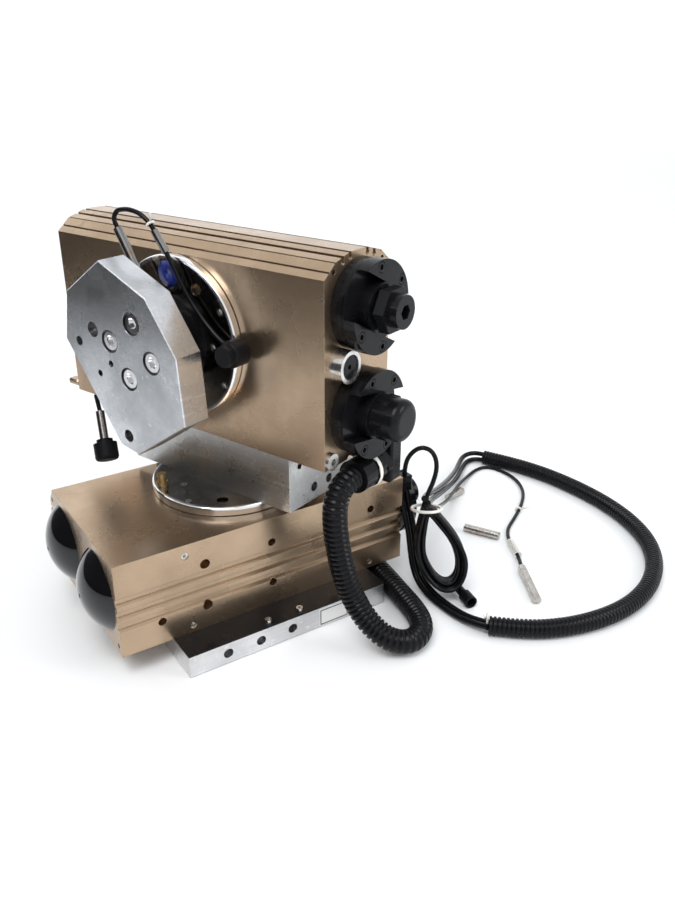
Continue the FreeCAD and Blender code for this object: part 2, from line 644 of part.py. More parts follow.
# ---------------------------------------------------------------- free leads and conduits
# Each route is a list of corner points; the tube follows it with tangent arcs.

LEAD_DIA = 4.4
HANK_DIA = 3.4
LOOP_DIA = 3.0
FLOOR_CONDUIT_R = 6.5
TIE = Vector(117, -76, 69)       # where the leads are strapped together above the hank

HOSE = [(38.04, -100.98, 117.5), (29.58, -104.04, 117.5), (22.3, -106.7, 112), (19.4, -107.9, 102.5),
        (20.2, -108.2, 84), (24.6, -110, 56), (30.5, -115, 34.5), (36, -125.5, 20), (43.5, -137, 12),
        (56, -142.5, 8.6), (69, -138, 8.1), (77.5, -127, 8.1), (82, -111, 8.1), (84.6, -95, 8.1),
        (87.5, -79, 8.1), (91.5, -53, 8.1), (94.5, -26, 8.1), (95.5, 2, 8.1), (92, 30, 8.1)]
FLOOR_CONDUIT = [(114, -155), (130, -171), (154, -184.5), (183, -192), (214, -192.5), (245, -184),
                 (273, -167), (295, -143), (309, -114), (316, -82), (317, -48), (313, -14),
                 (303.5, 18), (290, 45)]
LEAD_A_1 = [(108.4, -60.5, 70), (108.2, -62.5, 63), (108.2, -66.5, 53), (108.4, -71, 41), (108.2, -74, 28),
            (107.4, -78.5, 15.5), (106, -87, 6.8), (105, -101, 2.8), (104.8, -116, 2.6), (105.6, -131, 2.8),
            (107.6, -144, 4.6), (112.2, -156.5, 6.5)]
LEAD_A_2 = [(113.4, -60.5, 70), (113.2, -62.5, 63), (113.2, -66.5, 53), (113.4, -71, 41), (113.1, -74, 28),
            (112.2, -78.5, 15.5), (110.8, -87, 6.8), (109.9, -101, 2.8), (109.7, -116, 2.6),
            (110.5, -131, 2.8), (112.2, -143, 4.6), (115.8, -153, 6.5)]
LEAD_B_1 = [(290.5, 45, 9), (288.3, 52.5, 8.4), (281.5, 57.4, 7.4), (272.5, 56, 6.4), (261.5, 47.5, 6.6),
            (243, 31.5, 10), (222, 14.5, 16.5), (198, -4.5, 25), (173.5, -23.5, 35), (150, -43, 47),
            (132, -61.5, 60), (121, -74, 68), (113, -81.5, 71)]
LEAD_B_2 = [(288.8, 44.5, 4), (286.4, 50.5, 3.2), (280, 53.4, 2.5), (272, 50.4, 2.5), (260, 42, 3),
            (243, 28, 5.5), (226, 15, 10), (204, -2, 18.5), (180, -21, 28.5), (155, -42.5, 41.5),
            (136, -62, 54), (124, -75, 62.5), (116, -82, 67)]
HANK_LEAD = [(111, -60.5, 82), (110.6, -61, 90), (112.4, -63.6, 99), (117.6, -67.8, 105),
             (123.2, -72.4, 104), (126.6, -75.6, 98), (126.4, -77.8, 89.5), (122.4, -79.2, 80.5),
             (116.5, -80.4, 72.5)]
LOOP_LEAD = [(117.5, -83, 62.5), (125, -76.5, 57), (139, -64, 48), (161, -44, 33.5), (188, -22, 20),
             (213, -1, 11.5), (236, 16, 6.5), (256, 28.5, 2.4), (273, 36, 1.7), (285.5, 35, 1.7),
             (291, 24, 1.7), (291, 2, 1.7), (280, -20, 1.7), (261, -37, 1.7), (239, -51, 1.7),
             (220, -61.5, 1.7), (209, -75, 1.7), (201.5, -90, 1.9), (195.2, -101.5, 2.5), (187, -112, 3.3)]
HANK_OUTLINE = [(-4, 0), (-8, 20), (-8, 41), (2, 59), (18, 69.2), (31, 61), (36, 43), (33, 25),
                (20, 9), (5, -1)]
HANK_THICK = (-19.0, -1.5)       # how far it lies in front of the tie
PROBES = [((187, -112, 3.3), (166, -149, 3.3)), ((191, -42, 3.3), (205, -68, 3.3)),
          ((212, 5, 3.3), (232, 9, 3.3))]
CONNECTOR = ((127, -108.5, 5), (123, -127, 5))


def tube(name, points, radius):
    """A round tube along straight runs joined by tangent arcs; prints its length and arc radii."""
    points = [Vector(*p) for p in points]
    edges = []
    radii = []
    start = points[0]
    for before, corner, after in zip(points, points[1:], points[2:]):
        back = before - corner
        on = after - corner
        half_turn = (math.pi - back.getAngle(on)) / 2
        reach = 0.45 * min(back.Length, on.Length)
        r = reach / math.tan(half_turn)
        radii.append(r)
        enter = corner + back.normalize() * reach
        leave = corner + on.normalize() * reach
        middle = (enter + leave) * 0.5
        to_centre = (middle - corner).normalize()
        centre = corner + to_centre * (r / math.cos(half_turn))
        edges.append(Part.LineSegment(start, enter).toShape())
        edges.append(Part.Arc(enter, centre - to_centre * r, leave).toShape())
        start = leave
    edges.append(Part.LineSegment(start, points[-1]).toShape())
    path = Part.Wire(edges)
    along = points[1] - points[0]
    section = Part.Wire(Part.Edge(Part.Circle(points[0], along, radius)))
    shape = path.makePipeShell([section], True, False)
    expected = math.pi * radius ** 2 * path.Length
    print("%s: length %.0f mm, volume/expected %.4f, radii %s"
          % (name, path.Length, shape.Volume / expected, " ".join("%.0f" % r for r in radii)))
    return shape


def make_hank():
    """Outer shape of the strapped hank of lead: a leaning pear that stands on the floor."""
    right = Vector(0.835, -0.55, 0)
    lean = math.radians(14)
    down = Vector(-0.55, -0.835, 0) * math.sin(lean) - Z * math.cos(lean)
    through = right.cross(down)
    front, back = HANK_THICK
    curve = Part.BSplineCurve()
    corners = [TIE + right * w + down * d + through * front for w, d in HANK_OUTLINE]
    curve.interpolate(corners, PeriodicFlag=True)
    return Part.Face(Part.Wire(curve.toShape())).extrude(through * (back - front))


def make_probes():
    """Plain steel sensor barrels lying on the floor."""
    shapes = []
    for low, high in PROBES:
        a, b = Vector(*low), Vector(*high)
        shapes.append(cyl(3.2, (b - a).Length, a, (b - a).normalize()))
    return shapes


def make_connector():
    a, b = Vector(*CONNECTOR[0]), Vector(*CONNECTOR[1])
    along = (b - a).normalize()
    plug = cyl(3.2, 9, a, along).fuse(cyl(4.6, (b - a).Length - 9, a + along * 9, along))
    return plug.removeSplitter().cut(cyl(3.4, 5, b - along * 5, along))


os.makedirs("parts", exist_ok=True)
save("base_plate", make_base_plate())
save("base_sheet", make_base_sheet())
save("base_screws", group(make_base_screws()))
build_unit("lower", LOWER_ENDS, LOWER_PLACE, UPPER_TURN, 6.0, 1, BASE_TO_UNIT)
build_unit("upper", UPPER_ENDS, UPPER_PLACE, PLATE_TURN, 8.0, -1)
save("adapter_lower_plate", make_adapter_lower(), ADAPTER_PLACE)
save("adapter_upper_plate", make_adapter_upper(), ADAPTER_PLACE)
save("adapter_screws", group(make_adapter_screws()), ADAPTER_PLACE)
save("hub", make_hub(), UPPER_PLACE)
save("tool_plate", make_tool_plate(), UPPER_PLACE)
save("tool_screws", group(make_tool_screws()), UPPER_PLACE)
save("lead_sleeves", group(make_lead_sleeves()), UPPER_PLACE)
save("lead_knobs", group(make_lead_knobs()), UPPER_PLACE)
save("disc_lead", tube("disc_lead", DISC_LEAD, LEAD_R), UPPER_PLACE)
save("hanging_lead", make_hanging_lead(), UPPER_PLACE)
save("gland_bracket", make_gland_bracket(), UPPER_PLACE)
save("conduit_gland", group(make_conduit_gland()), UPPER_PLACE)
save("stop_pin", make_stop_pin(), LOWER_PLACE)
save("cable_outlets", group(make_cable_outlets()))
save("cord_conduit_hose", tube("cord_conduit_hose", HOSE, HOSE_R))
floor_route = [(x, y, FLOOR_CONDUIT_R) for x, y in FLOOR_CONDUIT]
save("cord_conduit_floor", tube("cord_conduit_floor", floor_route, FLOOR_CONDUIT_R))
for name, route, dia in (("lead_a_1", LEAD_A_1, LEAD_DIA), ("lead_a_2", LEAD_A_2, LEAD_DIA),
                         ("lead_b_1", LEAD_B_1, LEAD_DIA), ("lead_b_2", LEAD_B_2, LEAD_DIA),
                         ("hank_lead", HANK_LEAD, HANK_DIA), ("loop_lead", LOOP_LEAD, LOOP_DIA)):
    save("cord_" + name, tube("cord_" + name, route, dia / 2))
save("cord_hank", make_hank())
save("hank_connector", make_connector())
save("sensor_probes", group(make_probes()))
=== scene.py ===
import json
import math
import bmesh
import bpy
from mathutils import Matrix, Vector


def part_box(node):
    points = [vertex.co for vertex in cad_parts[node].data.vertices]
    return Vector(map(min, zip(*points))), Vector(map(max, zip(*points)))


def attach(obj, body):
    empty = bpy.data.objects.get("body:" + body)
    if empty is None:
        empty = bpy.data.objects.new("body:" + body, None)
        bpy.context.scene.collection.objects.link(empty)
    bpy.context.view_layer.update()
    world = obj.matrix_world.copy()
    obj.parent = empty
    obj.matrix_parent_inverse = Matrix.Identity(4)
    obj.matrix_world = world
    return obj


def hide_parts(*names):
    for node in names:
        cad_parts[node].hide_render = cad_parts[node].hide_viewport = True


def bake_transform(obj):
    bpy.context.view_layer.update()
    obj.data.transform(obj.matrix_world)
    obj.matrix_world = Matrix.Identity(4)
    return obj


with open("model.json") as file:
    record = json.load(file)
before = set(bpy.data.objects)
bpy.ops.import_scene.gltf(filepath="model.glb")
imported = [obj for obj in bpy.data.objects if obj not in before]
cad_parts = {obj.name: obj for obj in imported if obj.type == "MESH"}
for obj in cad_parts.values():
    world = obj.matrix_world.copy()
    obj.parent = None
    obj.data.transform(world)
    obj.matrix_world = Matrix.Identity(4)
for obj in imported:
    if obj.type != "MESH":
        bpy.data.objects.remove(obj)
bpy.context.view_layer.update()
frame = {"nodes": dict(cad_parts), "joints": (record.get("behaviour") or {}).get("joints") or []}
NODES = frame["nodes"]
MM = 0.001
Z = Vector((0, 0, 1))

# ---------------------------------------------------------------- places taken from the frame

swivels = {j["name"]: j for j in frame["joints"]}
FRONT = Vector(swivels["upper_swivel"]["axis"]).normalized()      # out of the upper flange
ORIGIN = Vector(swivels["upper_swivel"]["pos_m"])                 # middle of the upper flange face
ALONG = Z.cross(FRONT).normalized()                               # towards the upper stop caps
UPPER_TURN = math.atan2(ALONG.y, ALONG.x)
LOWER_TOP = swivels["lower_swivel"]["pos_m"][2]


def upper(a, b, c):
    """A point given in millimetres in the upper unit's frame."""
    return ORIGIN + (ALONG * a + Z * b + FRONT * c) * MM


def mm(x, y, z):
    return Vector((x, y, z)) * MM


# ---------------------------------------------------------------- materials

def shader(name, colour, metallic, roughness, **sockets):
    mat = bpy.data.materials.new(name)
    mat.use_nodes = True
    bsdf = mat.node_tree.nodes["Principled BSDF"]
    bsdf.inputs["Base Color"].default_value = (*colour, 1)
    bsdf.inputs["Metallic"].default_value = metallic
    bsdf.inputs["Roughness"].default_value = roughness
    for label, value in sockets.items():
        bsdf.inputs[label.replace("_", " ")].default_value = value
    return mat


def add(mat, kind, **values):
    """A node of a material, with its input sockets set by name or by number."""
    node = mat.node_tree.nodes.new("ShaderNode" + kind)
    for label, value in values.items():
        if label.startswith("in_"):
            key = label[3:].replace("_", " ")
            node.inputs[int(key) if key.isdigit() else key].default_value = value
        else:
            setattr(node, label, value)
    return node


def link(mat, out, into):
    mat.node_tree.links.new(out, into)


def place(mat, turn=0.0, scale=(1, 1, 1)):
    """Object coordinates turned about Z by turn, then scaled."""
    coords = add(mat, "TexCoord")
    turned = add(mat, "Mapping", in_Rotation=(0, 0, -turn))
    scaled = add(mat, "Mapping", in_Scale=scale)
    link(mat, coords.outputs["Object"], turned.inputs["Vector"])
    link(mat, turned.outputs["Vector"], scaled.inputs["Vector"])
    return scaled.outputs["Vector"]


def noise(mat, vector, scale, detail=4.0, rough=0.6):
    node = add(mat, "TexNoise", in_Scale=scale, in_Detail=detail, in_Roughness=rough)
    link(mat, vector, node.inputs["Vector"])
    return node.outputs["Fac"]


def remap(mat, value, low, high, to_low, to_high):
    node = add(mat, "MapRange", in_1=low, in_2=high, in_3=to_low, in_4=to_high)
    link(mat, value, node.inputs[0])
    return node.outputs[0]


def blend_colour(mat, fac, first, second, mode="MIX"):
    """Mixes two colours, each a tuple or a socket."""
    node = add(mat, "Mix", data_type="RGBA", blend_type=mode)
    link(mat, fac, node.inputs["Factor"])
    for side, colour in ((6, first), (7, second)):
        if isinstance(colour, tuple):
            node.inputs[side].default_value = (*colour, 1)
        else:
            link(mat, colour, node.inputs[side])
    return node.outputs[2]


def bump(mat, height, distance, strength=0.5):
    soft_edges = add(mat, "Bevel", samples=3, in_Radius=0.0004)
    node = add(mat, "Bump", in_Strength=strength, in_Distance=distance)
    link(mat, height, node.inputs["Height"])
    link(mat, soft_edges.outputs["Normal"], node.inputs["Normal"])
    bsdf = mat.node_tree.nodes["Principled BSDF"]
    link(mat, node.outputs["Normal"], bsdf.inputs["Normal"])


def drive(mat, socket, value):
    link(mat, value, mat.node_tree.nodes["Principled BSDF"].inputs[socket])


def anodised(name, turn):
    """Champagne anodised extrusion: drawn grain along one direction, clouded stains."""
    light, dark, stain = (0.50, 0.37, 0.255), (0.38, 0.275, 0.185), (0.13, 0.085, 0.055)
    mat = shader(name, light, 0.95, 0.3)
    grain = noise(mat, place(mat, turn, (6, 900, 900)), 1.0, 3.0)
    cloud = noise(mat, place(mat), 14.0, 5.0, 0.65)
    spots = noise(mat, place(mat), 42.0, 6.0, 0.7)
    colour = blend_colour(mat, remap(mat, cloud, 0.38, 0.68, 0, 1), light, dark)
    colour = blend_colour(mat, remap(mat, spots, 0.62, 0.78, 0, 0.6), colour, stain)
    colour = blend_colour(mat, remap(mat, grain, 0.3, 0.7, 0.0, 0.22), colour, dark)
    drive(mat, "Base Color", colour)
    drive(mat, "Roughness", remap(mat, cloud, 0.3, 0.7, 0.2, 0.34))
    bump(mat, grain, 0.00004, 0.3)
    return mat


def aluminium(name, colour, turn, rough=(0.22, 0.42), scratched=0.5):
    """Machined aluminium: faint cutter lines one way, a few long scratches, cloudy oxide."""
    mat = shader(name, colour, 1.0, 0.3)
    lines = noise(mat, place(mat, turn, (9, 520, 520)), 1.0, 2.0)
    cross = noise(mat, place(mat, turn + 0.9, (25, 300, 300)), 1.0, 1.0, 0.4)
    cloud = noise(mat, place(mat), 24.0, 4.0, 0.6)
    shade = tuple(0.66 * c for c in colour)
    tint = blend_colour(mat, remap(mat, cloud, 0.38, 0.66, 0, 0.8), colour, shade)
    tint = blend_colour(mat, remap(mat, lines, 0.4, 0.7, 0, 0.3), tint, shade)
    tint = blend_colour(mat, remap(mat, cross, 0.66, 0.74, 0, scratched), tint, (0.85, 0.85, 0.86))
    drive(mat, "Base Color", tint)
    drive(mat, "Roughness", remap(mat, cloud, 0.3, 0.7, *rough))
    bump(mat, lines, 0.00005, 0.3)
    return mat


def dark_finish(name, colour, rough, metallic=0.0, worn=(0.12, 0.11, 0.10), coat=0.0):
    """Black anodised, painted or moulded surface with dust and faint rubbed marks."""
    mat = shader(name, colour, metallic, rough, Coat_Weight=coat, Coat_Roughness=0.06, Specular_IOR_Level=0.1)
    dust = noise(mat, place(mat), 160.0, 6.0, 0.7)
    cloud = noise(mat, place(mat), 35.0, 3.0)
    drive(mat, "Base Color", blend_colour(mat, remap(mat, dust, 0.56, 0.8, 0, 0.35), colour, worn))
    drive(mat, "Roughness", remap(mat, cloud, 0.3, 0.7, rough * 0.8, min(1.0, rough * 1.3)))
    bump(mat, dust, 0.00004, 0.25)
    return mat


def bright_metal(name, colour, rough, rust=0.0):
    mat = shader(name, colour, 1.0, rough)
    cloud = noise(mat, place(mat), 220.0, 4.0)
    tint = blend_colour(mat, remap(mat, cloud, 0.4, 0.75, 0, 0.6), colour, tuple(0.6 * c for c in colour))
    if rust:
        patches = noise(mat, place(mat), 95.0, 6.0, 0.75)
        tint = blend_colour(mat, remap(mat, patches, 0.5, 0.62, 0, rust), tint, (0.30, 0.14, 0.06))
    drive(mat, "Base Color", tint)
    drive(mat, "Roughness", remap(mat, cloud, 0.3, 0.7, rough * 0.8, rough * 1.5))
    return mat


def flange_mirror(name, centre, axis):
    """Dark polished flange face with turned rings, and bright chrome towards its rim."""
    mat = shader(name, (0.20, 0.19, 0.18), 1.0, 0.1)
    coords = add(mat, "TexCoord")
    away = add(mat, "VectorMath", operation="SUBTRACT", in_1=tuple(centre))
    link(mat, coords.outputs["Object"], away.inputs[0])
    across = add(mat, "VectorMath", operation="CROSS_PRODUCT", in_1=tuple(axis))
    link(mat, away.outputs[0], across.inputs[0])
    reach = add(mat, "VectorMath", operation="LENGTH")
    link(mat, across.outputs[0], reach.inputs[0])
    radius = reach.outputs["Value"]
    smear = noise(mat, place(mat), 45.0, 5.0, 0.7)
    rim = remap(mat, radius, 0.0495, 0.0515, 0, 1)
    tint = blend_colour(mat, remap(mat, smear, 0.4, 0.7, 0, 1), (0.30, 0.28, 0.26), (0.12, 0.105, 0.095))
    drive(mat, "Base Color", blend_colour(mat, rim, tint, (0.86, 0.86, 0.87)))
    drive(mat, "Roughness", remap(mat, smear, 0.3, 0.75, 0.05, 0.2))
    rings = add(mat, "Math", operation="SINE")
    wide = add(mat, "Math", operation="MULTIPLY", in_1=9000.0)
    link(mat, radius, wide.inputs[0])
    link(mat, wide.outputs[0], rings.inputs[0])
    bump(mat, rings.outputs[0], 0.00002, 0.15)
    return mat


LOWER_BRONZE = anodised("champagne_lower", 0.0)
UPPER_BRONZE = anodised("champagne_upper", UPPER_TURN)
PLATE_ALU = aluminium("milled_plate", (0.72, 0.74, 0.77), UPPER_TURN + 0.6, (0.2, 0.36), 0.5)
BLOCK_ALU = aluminium("milled_blocks", (0.70, 0.70, 0.70), UPPER_TURN)
BASE_ALU = aluminium("ground_base", (0.74, 0.74, 0.75), 0.0)
DOME_BLACK = dark_finish("gloss_dome", (0.004, 0.004, 0.005), 0.08, 0.0, (0.012, 0.012, 0.012), 0.8)
CAP_BLACK = dark_finish("black_caps", (0.006, 0.006, 0.007), 0.25, 0.0, (0.02, 0.02, 0.02), 0.12)
SCREW_BLACK = dark_finish("black_screws", (0.02, 0.02, 0.022), 0.22, 0.7, (0.06, 0.06, 0.06))
RUBBER = dark_finish("rubber", (0.006, 0.006, 0.007), 0.42, 0.0, (0.02, 0.02, 0.02))
SHEET_BLACK = dark_finish("black_sheet", (0.008, 0.008, 0.009), 0.3, 0.0, (0.05, 0.05, 0.05), 0.15)
CONDUIT = dark_finish("conduit", (0.005, 0.005, 0.006), 0.26, 0.0, (0.02, 0.02, 0.022), 0.1)
CABLE = dark_finish("cable", (0.005, 0.005, 0.006), 0.22, 0.0, (0.014, 0.014, 0.016), 0.15)
STEEL = bright_metal("steel", (0.68, 0.67, 0.65), 0.22)
WORN_STEEL = bright_metal("worn_steel", (0.52, 0.50, 0.47), 0.25, 0.7)
DARK_STEEL = bright_metal("dark_steel", (0.30, 0.29, 0.28), 0.18, 0.3)
CHROME = bright_metal("chrome", (0.88, 0.88, 0.89), 0.08)
BRASS = bright_metal("brass", (0.62, 0.48, 0.26), 0.3, 0.3)
NYLON = shader("nylon", (0.80, 0.79, 0.74), 0.0, 0.42, Subsurface_Weight=0.15, Subsurface_Scale=0.002)
bump(NYLON, noise(NYLON, place(NYLON), 900.0), 0.00002, 0.2)
LABEL = shader("label_film", (0.74, 0.74, 0.73), 0.2, 0.35)
bump(LABEL, noise(LABEL, place(LABEL), 500.0), 0.00002, 0.2)
LOWER_FLANGE = flange_mirror("lower_flange_mirror", Vector((0, 0, LOWER_TOP)), Z)
UPPER_FLANGE = flange_mirror("upper_flange_mirror", ORIGIN, FRONT)

FINISHES = {
    "base_plate": BASE_ALU, "base_sheet": SHEET_BLACK, "base_screws": STEEL,
    "adapter_lower_plate": BLOCK_ALU, "adapter_upper_plate": BLOCK_ALU, "adapter_screws": STEEL,
    "tool_plate": PLATE_ALU, "tool_screws": CHROME, "hub": CAP_BLACK, "lead_sleeves": DARK_STEEL,
    "lead_knobs": RUBBER, "disc_lead": CABLE, "hanging_lead": CABLE, "gland_bracket": CAP_BLACK,
    "conduit_gland": CAP_BLACK, "stop_pin": BRASS, "cable_outlets": CAP_BLACK, "hank_connector": RUBBER,
    "sensor_probes": WORN_STEEL,
    "lower_housing": LOWER_BRONZE, "upper_housing": UPPER_BRONZE,
    "lower_pinion_flange": LOWER_FLANGE, "upper_pinion_flange": UPPER_FLANGE,
}
UNIT_FINISHES = {
    "dome_caps": DOME_BLACK, "stop_caps": CAP_BLACK, "cap_screws": SCREW_BLACK, "shock_absorbers": CAP_BLACK,
    "plunger_crown": STEEL, "plunger_flat": STEEL, "rack_crown": STEEL, "rack_flat": STEEL,
    "seals_crown": RUBBER, "seals_flat": RUBBER, "flange_screws": STEEL, "bearings": STEEL,
    "rear_cover": BLOCK_ALU, "plugs": STEEL,
}
for unit in ("lower", "upper"):
    for part, finish in UNIT_FINISHES.items():
        FINISHES[unit + "_" + part] = finish


def finish_node(obj, mat):
    obj.data.materials.clear()
    obj.data.materials.append(mat)


for node_name, finish in FINISHES.items():
    finish_node(NODES[node_name], finish)


def paint(name, mat, chosen, middle, axes):
    """Gives another finish to the faces whose centre, in a unit's millimetres, is chosen."""
    mesh = NODES[name].data
    mesh.materials.append(mat)
    index = len(mesh.materials) - 1
    for face in mesh.polygons:
        away = (face.center - middle) / MM
        if chosen(*(away.dot(axis) for axis in axes)):
            face.material_index = index


UPPER_AXES = (ALONG, Z, FRONT)
LOWER_AXES = (Vector((1, 0, 0)), Vector((0, 1, 0)), Z)
LOWER_ORIGIN = Vector((0, 0, LOWER_TOP))


def in_port_core(a, b, c):
    """The black core of the steel ring on a unit's end face."""
    return a > 100 and math.hypot(b - 1.3, c + 12.5) < 7.5


paint("upper_plugs", CAP_BLACK, in_port_core, ORIGIN, UPPER_AXES)
paint("lower_plugs", CAP_BLACK, in_port_core, LOWER_ORIGIN, LOWER_AXES)
paint("conduit_gland", NYLON, lambda a, b, c: -37.1 < c < -33.9 and math.hypot(a - 123, b + 74.5) > 10.8,
      ORIGIN, UPPER_AXES)

# ---------------------------------------------------------------- piece helpers


def piece(name, bm, mat, body, smooth=True):
    """Turns a bmesh into a named piece that rides on a body."""
    bmesh.ops.recalc_face_normals(bm, faces=bm.faces)
    mesh = bpy.data.meshes.new(name)
    bm.to_mesh(mesh)
    bm.free()
    if smooth:
        mesh.shade_smooth()
    obj = bpy.data.objects.new(name, mesh)
    bpy.context.scene.collection.objects.link(obj)
    mesh.materials.append(mat)
    if body:
        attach(obj, body)
    return obj


def sweep(bm, path, radii, sides=20, close_ends=True):
    """Lofts circles of the given radii along a path, without twist."""
    tangents = [(b - a).normalized() for a, b in zip(path, path[1:])]
    tangents.append(tangents[-1])
    side = tangents[0].orthogonal().normalized()
    rows = []
    for point, tangent, radius in zip(path, tangents, radii):
        side = (side - tangent * side.dot(tangent)).normalized()
        up = tangent.cross(side)
        turns = [2 * math.pi * k / sides for k in range(sides)]
        rows.append([bm.verts.new(point + (side * math.cos(t) + up * math.sin(t)) * radius) for t in turns])
    for low, high in zip(rows, rows[1:]):
        for k in range(sides):
            n = (k + 1) % sides
            bm.faces.new((low[k], low[n], high[n], high[k]))
    if close_ends:
        bm.faces.new(rows[0][::-1])
        bm.faces.new(rows[-1])


def lathe(bm, centre, axis, profile, sides=48):
    """Turns a closed (radius, height) outline about an axis."""
    side = axis.orthogonal().normalized()
    up = axis.cross(side)
    rows = []
    for k in range(sides):
        t = 2 * math.pi * k / sides
        out = side * math.cos(t) + up * math.sin(t)
        rows.append([bm.verts.new(centre + out * r + axis * h) for r, h in profile])
    count = len(profile)
    for k in range(sides):
        for i in range(count):
            j = (i + 1) % count
            n = (k + 1) % sides
            bm.faces.new((rows[k][i], rows[k][j], rows[n][j], rows[n][i]))


def plate(bm, corner, across, up, out, bevel=0.0):
    """A slab from one corner along three edge vectors, its edges rounded."""
    verts = [bm.verts.new(corner + across * i + up * j + out * k) for i in (0, 1) for j in (0, 1) for k in (0, 1)]
    quads = ((0, 1, 3, 2), (4, 6, 7, 5), (0, 4, 5, 1), (2, 3, 7, 6), (0, 2, 6, 4), (1, 5, 7, 3))
    faces = [bm.faces.new([verts[i] for i in quad]) for quad in quads]
    if bevel:
        edges = {e for f in faces for e in f.edges}
        bmesh.ops.bevel(bm, geom=list(edges), offset=bevel, segments=2, affect="EDGES")


# ---------------------------------------------------------------- cords
# Routes in metres, the same corner points as the CAD tubes follow.

HOSE = [(0.03804, -0.10098, 0.1175), (0.02958, -0.10404, 0.1175), (0.0223, -0.1067, 0.112),
        (0.0194, -0.1079, 0.1025), (0.0202, -0.1082, 0.084), (0.0246, -0.11, 0.056),
        (0.0305, -0.115, 0.0345), (0.036, -0.1255, 0.02), (0.0435, -0.137, 0.012),
        (0.056, -0.1425, 0.0086), (0.069, -0.138, 0.0081), (0.0775, -0.127, 0.0081),
        (0.082, -0.111, 0.0081), (0.0846, -0.095, 0.0081), (0.0875, -0.079, 0.0081),
        (0.0915, -0.053, 0.0081), (0.0945, -0.026, 0.0081), (0.0955, 0.002, 0.0081),
        (0.092, 0.03, 0.0081)]
FLOOR_CONDUIT = [(0.114, -0.155), (0.13, -0.171), (0.154, -0.1845), (0.183, -0.192), (0.214, -0.1925),
                 (0.245, -0.184), (0.273, -0.167), (0.295, -0.143), (0.309, -0.114), (0.316, -0.082),
                 (0.317, -0.048), (0.313, -0.014), (0.3035, 0.018), (0.29, 0.045)]
LEAD_A_1 = [(0.1084, -0.0605, 0.07), (0.1082, -0.0625, 0.063), (0.1082, -0.0665, 0.053),
            (0.1084, -0.071, 0.041), (0.1082, -0.074, 0.028), (0.1074, -0.0785, 0.0155),
            (0.106, -0.087, 0.0068), (0.105, -0.101, 0.0028), (0.1048, -0.116, 0.0026),
            (0.1056, -0.131, 0.0028), (0.1076, -0.144, 0.0046), (0.1122, -0.1565, 0.0065)]
LEAD_A_2 = [(0.1134, -0.0605, 0.07), (0.1132, -0.0625, 0.063), (0.1132, -0.0665, 0.053),
            (0.1134, -0.071, 0.041), (0.1131, -0.074, 0.028), (0.1122, -0.0785, 0.0155),
            (0.1108, -0.087, 0.0068), (0.1099, -0.101, 0.0028), (0.1097, -0.116, 0.0026),
            (0.1105, -0.131, 0.0028), (0.1122, -0.143, 0.0046), (0.1158, -0.153, 0.0065)]
LEAD_B_1 = [(0.2905, 0.045, 0.009), (0.2883, 0.0525, 0.0084), (0.2815, 0.0574, 0.0074),
            (0.2725, 0.056, 0.0064), (0.2615, 0.0475, 0.0066), (0.243, 0.0315, 0.01),
            (0.222, 0.0145, 0.0165), (0.198, -0.0045, 0.025), (0.1735, -0.0235, 0.035),
            (0.15, -0.043, 0.047), (0.132, -0.0615, 0.06), (0.121, -0.074, 0.068), (0.113, -0.0815, 0.071)]
LEAD_B_2 = [(0.2888, 0.0445, 0.004), (0.2864, 0.0505, 0.0032), (0.28, 0.0534, 0.0025),
            (0.272, 0.0504, 0.0025), (0.26, 0.042, 0.003), (0.243, 0.028, 0.0055), (0.226, 0.015, 0.01),
            (0.204, -0.002, 0.0185), (0.18, -0.021, 0.0285), (0.155, -0.0425, 0.0415),
            (0.136, -0.062, 0.054), (0.124, -0.075, 0.0625), (0.116, -0.082, 0.067)]
HANK_LEAD = [(0.111, -0.0605, 0.082), (0.1106, -0.061, 0.09), (0.1124, -0.0636, 0.099),
             (0.1176, -0.0678, 0.105), (0.1232, -0.0724, 0.104), (0.1266, -0.0756, 0.098),
             (0.1264, -0.0778, 0.0895), (0.1224, -0.0792, 0.0805), (0.1165, -0.0804, 0.0725)]
LOOP_LEAD = [(0.1175, -0.083, 0.0625), (0.125, -0.0765, 0.057), (0.139, -0.064, 0.048),
             (0.161, -0.044, 0.0335), (0.188, -0.022, 0.02), (0.213, -0.001, 0.0115), (0.236, 0.016, 0.0065),
             (0.256, 0.0285, 0.0024), (0.273, 0.036, 0.0017), (0.2855, 0.035, 0.0017),
             (0.291, 0.024, 0.0017), (0.291, 0.002, 0.0017), (0.28, -0.02, 0.0017), (0.261, -0.037, 0.0017),
             (0.239, -0.051, 0.0017), (0.22, -0.0615, 0.0017), (0.209, -0.075, 0.0017),
             (0.2015, -0.09, 0.0019), (0.1952, -0.1015, 0.0025), (0.187, -0.112, 0.0033)]
HOSE_DIA, FLOOR_DIA, LEAD_DIA, LOOP_DIA = 0.016, 0.013, 0.0044, 0.003
TIE = mm(117, -76, 69)


def route_curve(name, points, dia=0.0):
    """A NURBS curve through a route, with a round section if dia is given."""
    curve = bpy.data.curves.new(name, "CURVE")
    curve.dimensions = "3D"
    curve.resolution_u = 10
    spline = curve.splines.new("NURBS")
    spline.points.add(len(points) - 1)
    for point, place_at in zip(spline.points, points):
        point.co = (*place_at, 1)
    spline.order_u = 3
    spline.use_endpoint_u = True
    if dia:
        curve.bevel_depth = dia / 2
        curve.bevel_resolution = 5
        curve.use_fill_caps = True
    obj = bpy.data.objects.new(name, curve)
    bpy.context.scene.collection.objects.link(obj)
    return obj


def centreline(points):
    """The points of a route's smooth line, in order."""
    guide = route_curve("guide", points)
    mesh = bpy.data.meshes.new_from_object(guide)
    line = [v.co.copy() for v in mesh.vertices]
    bpy.data.meshes.remove(mesh)
    bpy.data.objects.remove(guide)
    return line


